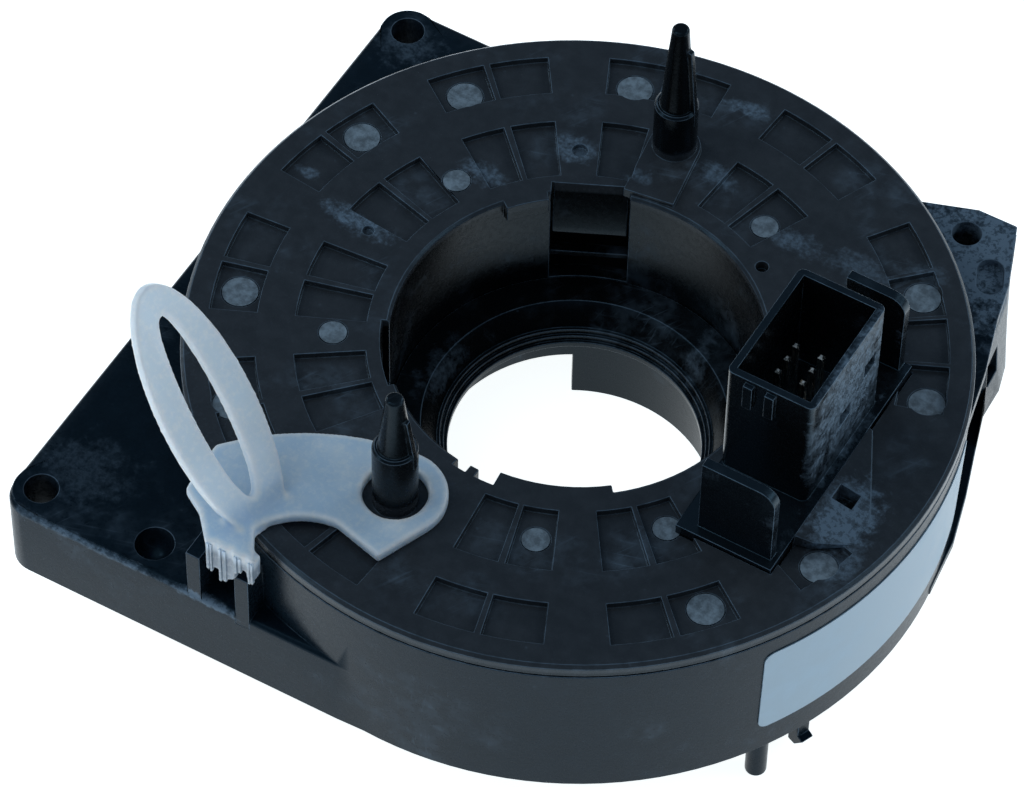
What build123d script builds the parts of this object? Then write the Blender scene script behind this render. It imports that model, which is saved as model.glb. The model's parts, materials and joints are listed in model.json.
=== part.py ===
from build123d import *
import math
import os

# Steering clock spring: the contact ring between a steering column and an airbag wheel.
#
# Frame: millimetres, +Z along the steering shaft towards the driver. The origin is where the
# rotor axis meets the rear mounting face of the stator. The mounting plate's edges run along X
# and Y, and the wheel-side connector stands on the +X side of the rotor at its centred position.

os.makedirs("parts", exist_ok=True)

# ---------------------------------------------------------------- overall sizes
HOUSING_R = 54.0            # outside of the round stator wall at its top
WALL_DRAFT = 0.6            # how much smaller the wall is at the rear face
WALL = 2.0                  # stator wall
STATOR_TOP = 26.2           # top of the stator wall above the rear face
SEAM = 0.3                  # turning gap between stator and rotor rim
RIM_H = 2.0                 # height of the rotor's rim
PLATE_UNDER = 0.6           # how far the rotor plate reaches below its rim
BORE_R = 25.8               # wide upper bore of the rotor
TUBE_WALL = 2.2             # wall of the rotor's inner tube
RUN = 0.5                   # radial running clearance round the tube

FACE_Z = STATOR_TOP + SEAM + RIM_H          # rotor face
RIM_UNDER_Z = STATOR_TOP + SEAM
PLATE_UNDER_Z = RIM_UNDER_Z - PLATE_UNDER
TUBE_R = BORE_R + TUBE_WALL
STATOR_IN_R = HOUSING_R - WALL
REAR_EXTENT = 9.4           # how far the rear collar stands behind the rear face

# ---------------------------------------------------------------- pocket pattern of the face
POCKET_DEPTH = 1.0
POCKET_PITCH = 30.0         # degrees from one pair of cells to the next
CELL_ANGLE = 10.0           # degrees of one cell
RIB_W = 0.9                 # rib between the two cells of a pair
OUTER_RING = (43.9, 50.4)
INNER_RING = (28.9, 38.6)
OUTER_PAIRS = (2, 3, 4, 5, 6, 7, 8, 9, 10)
INNER_PAIRS = (2, 4, 5, 6, 7, 9, 10)
SINGLE_CELLS = (            # (first angle, last angle, ring)
    (35.9, 44.6, OUTER_RING), (45.4, 55.0, OUTER_RING), (16.5, 25.6, OUTER_RING),
    (26.4, 35.1, OUTER_RING), (335.6, 346.0, OUTER_RING), (105.4, 115.0, INNER_RING),
)
SPOT_DEPTH = 0.15
OUTER_SPOT_R = 2.6
INNER_SPOT_R = 2.0
OUTER_SPOTS = ((140.2, 46.4), (110.1, 46.0), (40.6, 48.0), (18.8, 48.0), (341.0, 48.6),
               (321.1, 46.8), (223.4, 48.0), (200.1, 46.9), (160.2, 46.9))
INNER_SPOTS = ((69.1, 33.2), (290.5, 33.3), (321.1, 32.9))
FACE_SPOTS = ((209.1, 33.3), (151.6, 32.3))     # these two lie between the pockets

# ---------------------------------------------------------------- drive pegs
PEG_CIRCLE_R = 36.5
PEG_BASE_R = 3.1
PEG_CONE_R = 2.4
PEG_TIP_R = 1.2
PAD_HALF_W = 3.7            # raised pad round the taller peg's foot, out to the bore
PAD_TOP_Z = FACE_Z + 0.7
PEGS = (                    # (angle, height of the wide base, height of the tip)
    (98.6, 9.8, 25.4),
    (258.5, 12.0, 22.2),
)

# ---------------------------------------------------------------- wheel-side connector
SHROUD_X = (26.8, 39.8)
SHROUD_Y = (-8.6, 11.6)
SHROUD_TOP = 20.8           # above the rotor face
SHROUD_WALL = 1.1
SHROUD_FLOOR = 3.0          # cavity floor above the rotor face
INSERT_X = (26.8, 41.2)     # base plate of the connector moulding
INSERT_Y = (-20.6, 19.0)
INSERT_T = 2.0
INSERT_PROUD = 0.6
PLUG_X = (28.6, 36.2)       # neck of the moulding that passes through the rotor plate
PLUG_Y = (-4.2, 9.2)
FIT = 0.1                   # clearance of mouldings that sit in each other
BLADE_X = (29.4, 40.4)      # guard blade beside the shroud
BLADE_Y = -18.4
BLADE_T = 1.5
BLADE_TOP = 14.0
BACK_BLADE_X = (31.0, 40.0)  # second blade, behind the shroud
BACK_BLADE_Y = 18.1
BACK_BLADE_TOP = 15.0
FAIRING_FROM_X = 41.4       # sloping land between the connector and the rim
FAIRING_RUN = 7.4
FAIRING_H = 1.5
FAIRING_SLOT_X = (42.6, 45.6)
FAIRING_SLOT_Y = (-6.4, -3.8)
PIN_ROWS_X = (30.2, 34.0)
PIN_PITCH = 2.5
PIN_FIRST_Y = 0.0
PIN_W = 0.8
PIN_TIP = 13.5              # above the rotor face
PIN_FOOT_Z = 15.0
CARRIER_BOTTOM_Z = 10.0     # inner ribbon carrier under the connector

# ---------------------------------------------------------------- rear sleeve of the rotor
THROAT_TOP_R = BORE_R - 4.4
THROAT_R = BORE_R - 8.1
LEDGE_Z = 9.8               # ledge between the bore and the throat
LIP_Z = 3.9                 # underside of the narrowest ring
COLLAR_R = BORE_R - 5.8
COLLAR_WALL = 2.2
SLEEVE_WALL = 1.6
FLANGE_R = TUBE_R + 3.0     # rear flange that keeps the rotor in the stator
FLANGE_T = 1.6
COLLAR_GAP = (120.5, 228.0)  # degrees where the collar is cut away
COLLAR_GAP_Z = -1.0         # top of the cut-away

# ---------------------------------------------------------------- mounting plate of the stator
PLATE_LEFT_X = -HOUSING_R - 5.2
PLATE_FRONT_Y = -HOUSING_R - 0.6     # at the left corner; it runs back to the wall from there
PLATE_BACK_Y = HOUSING_R - 3.6
PLATE_TOP_Z = 13.5
PLATE_T = 2.0
PLATE_CORNER_R = 4.0
HOLE_R = 2.4
BOSS_R = 4.0
CORNER_HOLES = ((PLATE_LEFT_X + 4.0, PLATE_FRONT_Y + 4.8), (PLATE_LEFT_X + 4.0, PLATE_BACK_Y - 4.0))
DIMPLE = (-37.0, PLATE_FRONT_Y + 5.0)     # blind locating socket in the plate's front edge
DIMPLE_R = 2.7
DIMPLE_DEPTH = 1.2          # straight part above its round bottom
DIMPLE_BOSS_H = 6.0
WING_TOP_Z = 18.0
WING_T = 2.0
DRAWN_R = 54.0              # wall radius that the wing's places below are drawn for
GROWN = HOUSING_R / DRAWN_R
WING_HOLE = (33.4 * GROWN, 51.6 * GROWN)
WING_HOLE_R = 2.1
WING_BOSS_R = 3.4
WING_PIT = (39.8 * GROWN, 46.4 * GROWN)     # blind oval pit beside the hole
WING_PIT_SIZE = (6.2, 3.8)
WING_PIT_DEPTH = 1.4
WING_PIT_TURN = -66.0
WING_TOE = (25.0, 53.4)     # where the wing's back edge leaves the round wall
WING_BACK = (32.9, 56.3)
WING_CORNER = (38.9, 56.4)
WING_KNEE = (42.8, 46.2)
WING_TANGENT_A = 24.0       # degrees where its right edge meets the round wall
WING_WALL = 1.6
SKIRT_INSET = 0.1           # how far the wing's plate stands out over its side walls
WINDOW_Y = (36.9, 40.9)     # window in its side wall
WINDOW_Z = (6.0, 11.4)
FOOT_LEDGE_T = 1.5          # low ledge at the foot of the wall beside the wing

# ---------------------------------------------------------------- lock post, ribbon, label
POST_X = (-21.4, -19.2)
CHANNEL_WALL_X = (-29.0, -26.8)
POST_FRONT_Y = -HOUSING_R + 0.1
POST_TOP_Z = 22.4
LUG_GAP = 0.3               # between the lock's prongs and the post
RIBBON_T = 0.4
RIBBON_IN_R = 37.6          # inside of the innermost turn
CARRIER_GAP = 0.3           # between that turn and the carrier, which turns with the rotor
RIBBON_PITCH = 1.8
RIBBON_HALVES = 13          # half turns before the tail
RIBBON_TAIL = 42.0          # degrees of the last part turn
RIBBON_Z = (2.6, 25.3)
FILM_T = 0.25
FILM_R = (TUBE_R + 1.0, HOUSING_R - 4.4)
COVER_T = 2.0
COVER_IN_R = TUBE_R + 0.4
LABEL_T = 0.15
LABEL_Z = (5.3, 23.0)
LABEL_A = (-32.6, 18.0)
LABEL_CORNER_R = 1.6

# ---------------------------------------------------------------- column-side connector
PLUG_A = 222.0              # its direction from the shaft
PLUG_R = (HOUSING_R + 2.6, HOUSING_R + 12.6)      # shroud, along that direction
PLUG_W = 14.6
PLUG_MOUTH_Z = 0.6
PLUG_TOP_Z = PLATE_TOP_Z - PLATE_T
PLUG_WALL = 1.2
PLUG_FLOOR_Z = 8.0
NECK_W = 9.0
NECK_Z = (7.2, 10.8)
ROWS_R = (PLUG_R[0] + 3.0, PLUG_R[1] - 3.2)       # pin rows of the column side
ROWS_Z = (8.2, 9.8)         # height of each row's level run
PIN_MOUTH_Z = 3.0
BLOCK_A = (214.0, 230.0)    # outer ribbon block
BLOCK_Z = (3.0, 23.0)

# ---------------------------------------------------------------- rear peg and hook
PEG_AT = (44.0, -26.0)
PEG_R = 1.5
PEG_END_Z = -9.0
HOOK_AT = (47.0, -19.6)
HOOK_END_Z = -7.5

# ---------------------------------------------------------------- transport lock
LOCK_T = 1.8
RING_HOLE_R = 4.4
RING_R = 7.1
LUG_X = (-24.8, -17.2)
LUG_Y = (-HOUSING_R - 1.2, -HOUSING_R + 0.8)
LOOP_FOOT = (-21.4, -47.5, 1.8)     # middle of the band, above the rotor face
LOOP_TOP = (-40.4, -42.1, 27.6)
LOOP_ACROSS = (0.277, 0.961, 0.0)
LOOP_LENGTH = 39.0
LOOP_W = 14.0
LOOP_BAND = 4.5             # width of its sides
LOOP_END = 6.2              # width of its closed end
LOOP_T = 2.0


def save(shape, name):
    """Label one piece and write it as its own STEP file."""
    shape.label = name
    export_step(shape, os.path.join("parts", name + ".step"))


def at(radius, degrees, z=0.0):
    """Point at a radius and an angle about the shaft."""
    a = math.radians(degrees)
    return (radius * math.cos(a), radius * math.sin(a), z)


def ring(r_in, r_out, z0, z1):
    """Plain ring about the shaft."""
    outer = Pos(0, 0, z0) * extrude(Circle(r_out), z1 - z0)
    return outer - Pos(0, 0, z0) * extrude(Circle(r_in), z1 - z0)


def sector(r_in, r_out, a0, a1, z0, z1):
    """Ring segment between two angles, with arcs as its inner and outer edges."""
    mid = (a0 + a1) / 2
    with BuildSketch() as sk:
        with BuildLine():
            ThreePointArc(at(r_in, a0), at(r_in, mid), at(r_in, a1))
            Line(at(r_in, a1), at(r_out, a1))
            ThreePointArc(at(r_out, a1), at(r_out, mid), at(r_out, a0))
            Line(at(r_out, a0), at(r_in, a0))
        make_face()
    return Pos(0, 0, z0) * extrude(sk.sketch, z1 - z0)


def wall_r(z):
    """Outside radius of the slightly tapered stator wall at a height."""
    return HOUSING_R - WALL_DRAFT * (1 - z / STATOR_TOP)


def block(x, y, z):
    """Box from its lowest to its highest coordinates."""
    size = (x[1] - x[0], y[1] - y[0], z[1] - z[0])
    return Pos(sum(x) / 2, sum(y) / 2, sum(z) / 2) * Box(*size)


def turned(points):
    """Solid of revolution about the shaft from (radius, z) points."""
    with BuildSketch(Plane.XZ) as sk:
        with BuildLine():
            Polyline(*points, close=True)
        make_face()
    return revolve(sk.sketch, axis=Axis.Z)


def radial_plate(degrees, width, points):
    """Plate of one width across a radius, from (radius, z) points of its section."""
    with BuildSketch(Plane.XZ) as sk:
        with BuildLine():
            Polyline(*points, close=True)
        make_face()
    return Rot(0, 0, degrees) * extrude(sk.sketch, width / 2, both=True)


def peg(degrees, base_h, tip_h):
    """Stepped drive peg: a stout base, then a slim cone with a web on its side."""
    base = Pos(0, 0, base_h / 2 - 0.5) * Cylinder(PEG_BASE_R, base_h + 1.0)
    base = chamfer(base.edges().group_by(Axis.Z)[-1], 0.35)
    cone_h = tip_h - base_h
    cone = Pos(0, 0, base_h + cone_h / 2 - 0.1) * Cone(PEG_CONE_R, PEG_TIP_R, cone_h + 0.2)
    cone = fillet(cone.edges().group_by(Axis.Z)[-1], 0.5)
    with BuildSketch(Plane.XZ) as sk:
        with BuildLine():
            Polyline((0, base_h - 3), (PEG_BASE_R, base_h - 3), (PEG_BASE_R, base_h),
                     (PEG_TIP_R + 0.9, tip_h - 4), (0, tip_h - 3.2), close=True)
        make_face()
    web = extrude(sk.sketch, 0.45, both=True)
    foot = Pos(0, 0, FACE_Z)
    return Pos(*at(PEG_CIRCLE_R, degrees)) * foot * (base + cone + web)


def pocket_cells():
    """Every shallow cell of the two rings, as one cutter."""
    z0, z1 = FACE_Z - POCKET_DEPTH, FACE_Z + 1
    cells = []
    for pairs, (r_in, r_out) in ((OUTER_PAIRS, OUTER_RING), (INNER_PAIRS, INNER_RING)):
        half_rib = math.degrees(RIB_W / 2 / ((r_in + r_out) / 2))
        for k in pairs:
            rib_at = POCKET_PITCH * k + POCKET_PITCH / 2
            cells.append(sector(r_in, r_out, rib_at - CELL_ANGLE, rib_at - half_rib, z0, z1))
            cells.append(sector(r_in, r_out, rib_at + half_rib, rib_at + CELL_ANGLE, z0, z1))
    for a0, a1, (r_in, r_out) in SINGLE_CELLS:
        cells.append(sector(r_in, r_out, a0, a1, z0, z1))
    return cells


def ejector_spots():
    """Shallow round marks left by the ejector pins in the cell floors and on the face."""
    floor_z, face_z = FACE_Z - POCKET_DEPTH - SPOT_DEPTH, FACE_Z - SPOT_DEPTH
    groups = ((OUTER_SPOTS, OUTER_SPOT_R, floor_z), (INNER_SPOTS, INNER_SPOT_R, floor_z),
              (FACE_SPOTS, INNER_SPOT_R, face_z))
    return [Pos(*at(r, angle, z + 2)) * Cylinder(radius, 4)
            for places, radius, z in groups for angle, r in places]


def fairing():
    """Sloping land that falls from the connector's side to the rotor face, with its slot."""
    with BuildSketch() as sk:
        with BuildLine():
            Polyline((41.4, 6.2), (41.4, -14.6), (44.0, -14.0), (48.3, -11.1), (48.6, -6.6),
                     (42.0, 6.2), close=True)
        make_face()
    prism = Pos(0, 0, FACE_Z - 0.5) * extrude(sk.sketch, FAIRING_H + 0.5)
    slope = math.degrees(math.atan2(FAIRING_H, FAIRING_RUN))
    above = Pos(FAIRING_FROM_X, 0, FACE_Z + FAIRING_H) * Rot(0, slope, 0) * block(
        (-5, 20), (-30, 30), (0, 10))
    slot = block(FAIRING_SLOT_X, FAIRING_SLOT_Y, (FACE_Z - 1.5, FACE_Z + 3))
    return prism - above, slot


def rotor_disc():
    """Wheel-side rotor: face plate, rim, labyrinth lip, inner tube and two drive pegs."""
    lip_r = (STATOR_IN_R - 1.8, STATOR_IN_R - 0.4)
    lip_z = PLATE_UNDER_Z - 1.8
    part = turned([
        (BORE_R, -SEAM), (TUBE_R, -SEAM), (TUBE_R, PLATE_UNDER_Z), (lip_r[0], PLATE_UNDER_Z),
        (lip_r[0], lip_z), (lip_r[1], lip_z), (lip_r[1], RIM_UNDER_Z), (HOUSING_R, RIM_UNDER_Z),
        (HOUSING_R, FACE_Z - 0.5), (HOUSING_R - 0.5, FACE_Z), (BORE_R + 0.4, FACE_Z),
        (BORE_R, FACE_Z - 0.4),
    ])
    # lips and reliefs round the mouth of the bore
    part += sector(BORE_R - 1.0, BORE_R + 0.6, 275.5, 310.5, FACE_Z - 1.5, FACE_Z)
    part += sector(BORE_R - 1.1, BORE_R + 0.6, 129.5, 143.5, FACE_Z - 3.0, FACE_Z)
    part -= sector(BORE_R - 1, BORE_R + 1.1, 204.0, 228.0, FACE_Z - 14.0, FACE_Z + 1)
    part -= sector(BORE_R - 1, BORE_R + 1.3, 262.0, 275.5, FACE_Z - 4.0, FACE_Z + 1)
    part += sector(BORE_R, BORE_R + 1.6, 266.4, 269.4, FACE_Z - 3.5, FACE_Z)
    # window in the tube with a sloping guide tongue above it and a bar across it
    window_a, window_w = 116.2, 11.0
    window = ((BORE_R - 2, LEDGE_Z), (TUBE_R + 1, LEDGE_Z), (TUBE_R + 1, 19.9), (BORE_R - 2, 19.9))
    part -= radial_plate(window_a, window_w, window)
    mouth = ((BORE_R - 2, 19.9), (TUBE_R - 0.7, 19.9), (TUBE_R - 0.7, FACE_Z + 1),
             (BORE_R - 2, FACE_Z + 1))
    part -= radial_plate(window_a, window_w, mouth)
    part += radial_plate(window_a, window_w - 0.6, (
        (BORE_R - 0.5, 19.9), (TUBE_R, 19.9), (TUBE_R, FACE_Z), (BORE_R + 1.4, FACE_Z),
        (BORE_R - 0.5, 21.2)))
    part += radial_plate(window_a, window_w + 0.4, (
        (BORE_R + 0.6, 13.5), (TUBE_R, 13.5), (TUBE_R, 14.4), (BORE_R + 0.6, 14.4)))
    # drive pegs, and the pad between the taller one and the bore
    for angle, base_h, tip_h in PEGS:
        part += peg(angle, base_h, tip_h)
    pad = block((BORE_R + 0.6, PEG_CIRCLE_R), (-PAD_HALF_W, PAD_HALF_W), (FACE_Z - 1, PAD_TOP_Z))
    pad += Pos(PEG_CIRCLE_R, 0, (FACE_Z - 1 + PAD_TOP_Z) / 2) * Cylinder(
        PAD_HALF_W, PAD_TOP_Z - FACE_Z + 1)
    part += Rot(0, 0, PEGS[0][0]) * pad
    for cell in pocket_cells():
        part -= cell
    for spot in ejector_spots():
        part -= spot
    land, slot = fairing()
    part = part + land - slot
    # seat and neck opening of the connector moulding
    seat_z = FACE_Z + INSERT_PROUD - INSERT_T
    part -= block((INSERT_X[0] - FIT, INSERT_X[1] + FIT), (INSERT_Y[0] - FIT, INSERT_Y[1] + FIT),
                  (seat_z, FACE_Z + 6))
    part -= block((PLUG_X[0] - FIT, PLUG_X[1] + FIT), (PLUG_Y[0] - FIT, PLUG_Y[1] + FIT),
                  (PLATE_UNDER_Z - 1, FACE_Z))
    part -= Pos(*at(33.3, 119.7, FACE_Z)) * Cylinder(1.1, 1.6)
    part -= Pos(*at(34.3, 177.6, FACE_Z)) * Cylinder(0.8, 1.6)
    part -= Pos(*at(28.4, 57.5, FACE_Z)) * Cylinder(0.9, 3.0)
    return part


def rotor_sleeve():
    """Rear half of the rotor: ledge, funnel-shaped throat, rear flange and shaft collar."""
    spigot_r = BORE_R - FIT
    inner = spigot_r - SLEEVE_WALL
    part = turned([
        (spigot_r, LEDGE_Z), (spigot_r, -SEAM), (FLANGE_R, -SEAM), (FLANGE_R, -SEAM - FLANGE_T),
        (inner, -SEAM - FLANGE_T), (inner, LEDGE_Z - SLEEVE_WALL),
        (THROAT_TOP_R + 1.4, LEDGE_Z - SLEEVE_WALL), (COLLAR_R + COLLAR_WALL, LIP_Z + 1.0),
        (COLLAR_R + COLLAR_WALL, -REAR_EXTENT), (COLLAR_R, -REAR_EXTENT), (COLLAR_R, LIP_Z - 1.2),
        (THROAT_R, LIP_Z), (THROAT_R, LIP_Z + 1.0), (THROAT_R + 0.5, LIP_Z + 1.0),
        (THROAT_R + 0.5, LIP_Z + 1.8), (THROAT_R + 1.0, LIP_Z + 1.8), (THROAT_R + 1.0, LIP_Z + 2.6),
        (THROAT_R + 1.5, LIP_Z + 2.6), (THROAT_TOP_R - 0.5, LEDGE_Z - 0.6),
        (THROAT_TOP_R, LEDGE_Z),
    ])
    gap0, gap1 = COLLAR_GAP
    part -= sector(COLLAR_R - 3, COLLAR_R + COLLAR_WALL + 0.4, gap0, gap1, -REAR_EXTENT - 1,
                   COLLAR_GAP_Z)
    return part


def steering_connector_housing():
    """Wheel-side connector moulding: base plate, neck, open shroud and guard blade."""
    seat_z = FACE_Z + INSERT_PROUD - INSERT_T
    top_z = FACE_Z + SHROUD_TOP
    base = block(INSERT_X, INSERT_Y, (seat_z, FACE_Z + INSERT_PROUD))
    shroud = block(SHROUD_X, SHROUD_Y, (seat_z, top_z))
    shroud = fillet(shroud.edges().filter_by(Axis.Z), 1.0)
    neck = block(PLUG_X, PLUG_Y, (PLATE_UNDER_Z - 1.4, seat_z + 0.5))
    part = base + shroud + neck
    cavity = block((SHROUD_X[0] + SHROUD_WALL, SHROUD_X[1] - SHROUD_WALL),
                   (SHROUD_Y[0] + SHROUD_WALL, SHROUD_Y[1] - SHROUD_WALL),
                   (FACE_Z + SHROUD_FLOOR, top_z + 1))
    part -= cavity
    for y, z in ((1.5, 8.5), (8.0, 12.1)):
        part -= block((SHROUD_X[1] - 2, SHROUD_X[1] + 1), (y - 1.5, y + 1.5),
                      (FACE_Z + z - 1.3, FACE_Z + z + 1.3))
    for x in (30.4, 33.6):
        part += block((x - 0.7, x + 0.7), (SHROUD_Y[0] - 0.8, SHROUD_Y[0] + 0.3),
                      (top_z - 5.0, top_z - 0.6))
    for across, y, top in ((BLADE_X, BLADE_Y, BLADE_TOP),
                           (BACK_BLADE_X, BACK_BLADE_Y, BACK_BLADE_TOP)):
        blade = block(across, (y - BLADE_T / 2, y + BLADE_T / 2), (seat_z, FACE_Z + top))
        outer_top = blade.edges().filter_by(Axis.Y).sort_by(Axis.Z)[-2:].sort_by(Axis.X)[-1]
        part += fillet(outer_top, 2.5)
    for pin in pin_places():
        part -= block(*pin, (seat_z - 20, FACE_Z + SHROUD_FLOOR + 0.1))
    return part


def pin_places():
    """X and Y ranges of the six wheel-side pins."""
    places = []
    for x in PIN_ROWS_X:
        for n in range(3):
            y = PIN_FIRST_Y + n * PIN_PITCH
            places.append(((x - PIN_W / 2, x + PIN_W / 2), (y - PIN_W / 2, y + PIN_W / 2)))
    return places


def steering_pin(x, y):
    """Straight square pin from the ribbon carrier into the connector, with a tapered tip."""
    pin = block(x, y, (PIN_FOOT_Z, FACE_Z + PIN_TIP))
    return chamfer(pin.edges().group_by(Axis.Z)[-1], 0.22)


def inner_ribbon_carrier():
    """Block under the connector that joins the ribbon's inner end to the pins."""
    top_z = PLATE_UNDER_Z - 1.4
    part = block((TUBE_R - 2, RIBBON_IN_R + 2), PLUG_Y, (CARRIER_BOTTOM_Z, top_z))
    part = part & ring(TUBE_R + FIT / 2, RIBBON_IN_R - CARRIER_GAP, CARRIER_BOTTOM_Z, top_z)
    for x, y in pin_places():
        part -= block(x, y, (PIN_FOOT_Z, top_z + 1))
    return part


def arc_point(centre_x, radius, degrees):
    """Point of an arc whose centre lies on the X axis."""
    a = math.radians(degrees)
    return (centre_x + radius * math.cos(a), radius * math.sin(a))


def tail_circle(side):
    """Centre and radius of the ribbon's last part turn: side -1 inside, 0 middle, 1 outside."""
    middle = RIBBON_IN_R + RIBBON_T / 2 + RIBBON_HALVES * RIBBON_PITCH / 2
    return RIBBON_PITCH / 2, middle + side * RIBBON_T / 2


def ribbon_cable():
    """Flat cable wound as a spiral of half-turn arcs about two alternating centres."""
    with BuildSketch() as sk:
        with BuildLine():
            ends = []
            for side in (-1, 1):
                first = RIBBON_IN_R + RIBBON_T / 2 + side * RIBBON_T / 2
                for n in range(RIBBON_HALVES + 1):
                    r = first + n * RIBBON_PITCH / 2
                    centre = RIBBON_PITCH / 2 if n % 2 else 0.0
                    start = 180.0 * (n % 2)
                    sweep = 180.0 if n < RIBBON_HALVES else RIBBON_TAIL
                    ThreePointArc(arc_point(centre, r, start),
                                  arc_point(centre, r, start + sweep / 2),
                                  arc_point(centre, r, start + sweep))
                ends.append(((first, 0), arc_point(centre, r, start + sweep)))
            Line(ends[0][0], ends[1][0])
            Line(ends[0][1], ends[1][1])
        make_face()
    return Pos(0, 0, RIBBON_Z[0]) * extrude(sk.sketch, RIBBON_Z[1] - RIBBON_Z[0])


def outer_ribbon_block():
    """Block inside the stator wall that joins the ribbon's outer end to the column pins."""
    centre_x, radius = tail_circle(1)
    part = sector(radius - 3, STATOR_IN_R, *BLOCK_A, *BLOCK_Z)
    part -= Pos(centre_x, 0, 0) * extrude(Circle(radius), BLOCK_Z[1] + 5)
    for pin in column_pin_runs():
        part -= pin
    return part


def plug_box(r, half_w, z):
    """Box in the direction of the column-side connector."""
    return Rot(0, 0, PLUG_A) * block(r, (-half_w, half_w), z)


def column_connector_housing():
    """Column-side connector moulding: rear-facing shroud under the plate and its neck."""
    part = plug_box(PLUG_R, PLUG_W / 2, (PLUG_MOUTH_Z, PLUG_TOP_Z))
    part -= plug_box((PLUG_R[0] + PLUG_WALL, PLUG_R[1] - PLUG_WALL), PLUG_W / 2 - PLUG_WALL,
                     (PLUG_MOUTH_Z - 1, PLUG_FLOOR_Z))
    part -= plug_box((PLUG_R[1] - 2, PLUG_R[1] + 1), 1.6, (PLUG_MOUTH_Z + 2, PLUG_MOUTH_Z + 4.5))
    neck = plug_box((STATOR_IN_R - 1, PLUG_R[0] + 0.2), NECK_W / 2, NECK_Z)
    neck -= Pos(0, 0, NECK_Z[0] - 1) * extrude(Circle(STATOR_IN_R), 10)
    part += neck
    for pin in column_pin_runs():
        part -= pin
    return part


def column_pin(row, place):
    """Bent pin: down into the connector and level through the neck to the ribbon block."""
    half = PIN_W / 2
    r, z, y = ROWS_R[row], ROWS_Z[row], (place - 1) * PIN_PITCH
    down = block((r - half, r + half), (y - half, y + half), (PIN_MOUTH_Z, z + half))
    down = chamfer(down.edges().group_by(Axis.Z)[0], 0.2)
    level = block((STATOR_IN_R - 1.4, r), (y - half, y + half), (z - half, z + half))
    return Rot(0, 0, PLUG_A) * (down + level)


def column_pin_runs():
    """All six bent pins, as cutters for the mouldings they sit in."""
    return [column_pin(row, place) for row in range(2) for place in range(3)]


def plate_outline(margin):
    """Outline of the mounting plate, set in by a margin; its front runs into the round wall."""
    x0, y0, y1 = PLATE_LEFT_X + margin, PLATE_FRONT_Y + margin, PLATE_BACK_Y - margin
    front = margin - wall_r(0)
    with BuildSketch() as sk:
        with BuildLine():
            Polyline((x0, y0), (-6.0, front - 0.2), (6.0, front + 0.45), (0, 0), (0, y1),
                     (x0, y1), close=True)
        make_face()
        fillet(sk.vertices().group_by(Axis.X)[0], PLATE_CORNER_R - margin)
    return sk.sketch


def grown(*places):
    """Places beside the round wall, moved out or in with its radius."""
    return [(x * GROWN, y * GROWN) for x, y in places]


def wing_outline():
    """Top outline of the wing at the rear right corner."""
    tangent = at(DRAWN_R - 0.2, WING_TANGENT_A)[:2]
    with BuildSketch() as sk:
        with BuildLine():
            Polyline(*grown((38, 10), tangent, (46.9, 31.6), (44.2, 40.2), WING_KNEE, WING_CORNER,
                            WING_BACK, WING_TOE, (20.5, 49.8), (10, 42)), close=True)
        make_face()
    return sk.sketch


def wing_skirt(margin):
    """Side walls' solid under the wing's top plate, set in by a margin; it flares to the rear."""
    fixed = [(12, 44), (20.5, 49.8), WING_TOE, WING_BACK, WING_CORNER]
    rear = [(41.0, 52.4), (44.0, 46.4), (45.2, 42.1), (45.4, 37.0), (42.6, 32.0), (32, 24)]
    front = [(40.5, 52.2), WING_KNEE, (44.2, 40.2), (45.0, 36.5), (42.6, 31.5), (32, 24)]
    levels = []
    for z, side in ((0, rear), (WING_TOP_Z - WING_T / 2, front)):
        with BuildSketch(Plane.XY.offset(z)) as sk:
            with BuildLine():
                Polyline(*grown(*fixed, *side), close=True)
            make_face()
            if margin:
                offset(amount=-margin, kind=Kind.INTERSECTION, mode=Mode.REPLACE)
        levels.append(sk.sketch)
    return loft(levels, ruled=True)


def foot_ledge():
    """Low ledge that runs from the wing's foot into the round wall."""
    with BuildSketch() as sk:
        with BuildLine():
            Polyline(*grown((38, 36), (50, 6), (53.2, 6.0), (52.2, 14.6), (49.9, 22.9),
                            (47.4, 30.4), (45.2, 37.2)), close=True)
        make_face()
    return extrude(sk.sketch, FOOT_LEDGE_T)


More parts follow.
